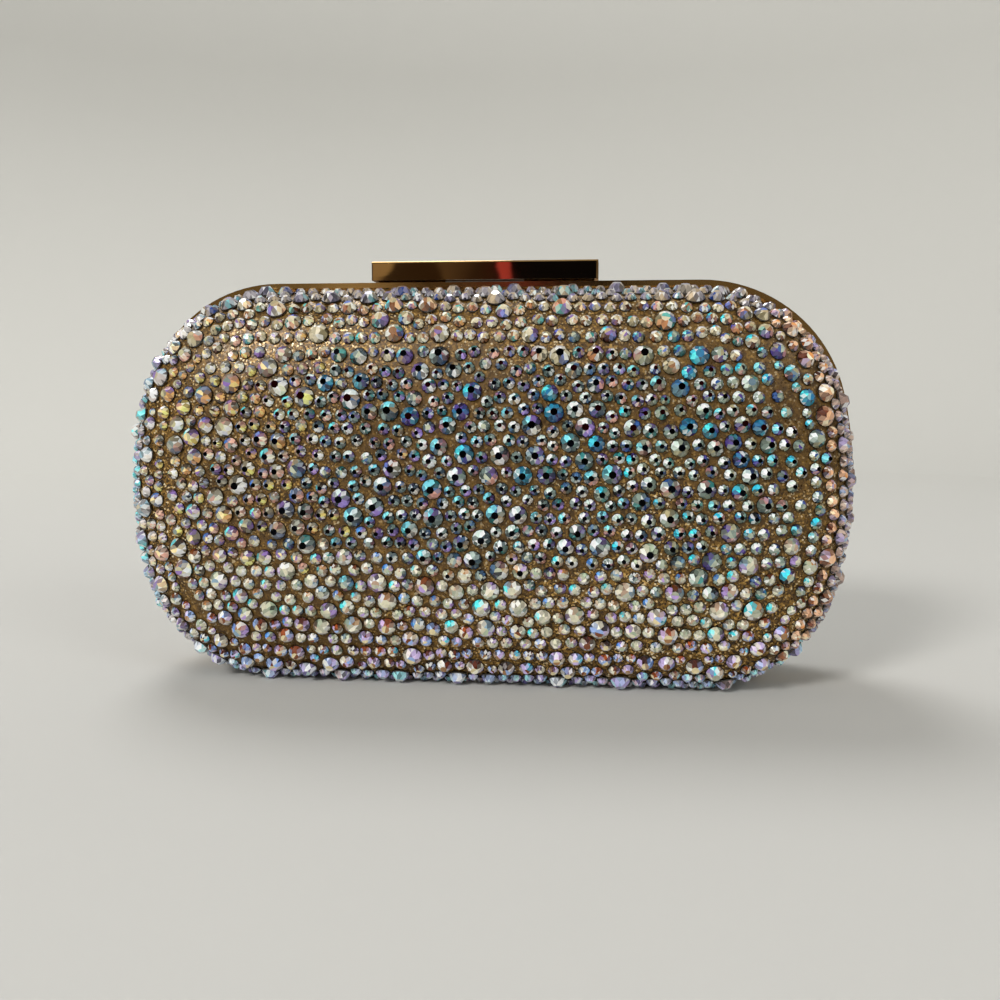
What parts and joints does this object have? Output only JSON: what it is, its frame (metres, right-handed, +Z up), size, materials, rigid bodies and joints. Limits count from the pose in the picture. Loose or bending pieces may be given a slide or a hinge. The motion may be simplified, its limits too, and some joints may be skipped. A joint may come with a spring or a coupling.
{
  "type": "minaudiere",
  "caption": "Crystal-covered hard-shell evening clutch: two domed halves in metal rims, hinged along the base, closed by a press bar on top.",
  "frame": {"origin": "middle of the base, on the surface that the case stands on, in the parting plane of the two halves", "axes": "+X along the width, to the viewer's right; +Y towards the back half; +Z up from the base to the press bar"},
  "size_m": [0.166, 0.0465, 0.0956],
  "materials": {
    "rim": "polished, gold tone",
    "clasp": "mirror-polished gold plate",
    "shell": "moulded, matte",
    "glitter_fabric": "golden glitter fabric",
    "board": "stiff insert board",
    "lining": "champagne satin",
    "crystal": "faceted, foiled back, rainbow coating",
    "steel": "drawn"
  },
  "bodies": {
    "back_half": {"back_rim": "rim", "back_shell": "shell", "back_cover": "glitter_fabric", "back_board": "board", "back_lining": "lining", "back_crystals_large": "crystal", "back_crystals_medium": "crystal", "back_crystals_small": "crystal", "back_crystals_base": "crystal", "hinge_pins": "steel", "clasp_plate": "rim", "clasp_rivets": "rim", "clasp_spring": "steel"},
    "front_half": {"front_rim": "rim", "front_shell": "shell", "front_cover": "glitter_fabric", "front_board": "board", "front_lining": "lining", "front_crystals_large": "crystal", "front_crystals_medium": "crystal", "front_crystals_small": "crystal", "front_crystals_base": "crystal", "strike_plate": "steel", "strike_rivets": "steel"},
    "clasp": {"clasp_bar": "clasp", "clasp_pin": "steel"}
  },
  "joints": [
    {"name": "case_hinge", "type": "hinge", "parent": "back_half", "child": "front_half", "pos_m": [0, 0, 0.00165], "axis": [1, 0, 0], "range_deg": [0, 95]},
    {"name": "clasp_rock", "type": "hinge", "parent": "back_half", "child": "clasp", "pos_m": [0, 0.00205, 0.0932], "axis": [-1, 0, 0], "range_deg": [0, 8], "stiffness_Nm_per_rad": 0.05, "springref_deg": -5.73, "deforming": ["clasp_spring"]}
  ]
}
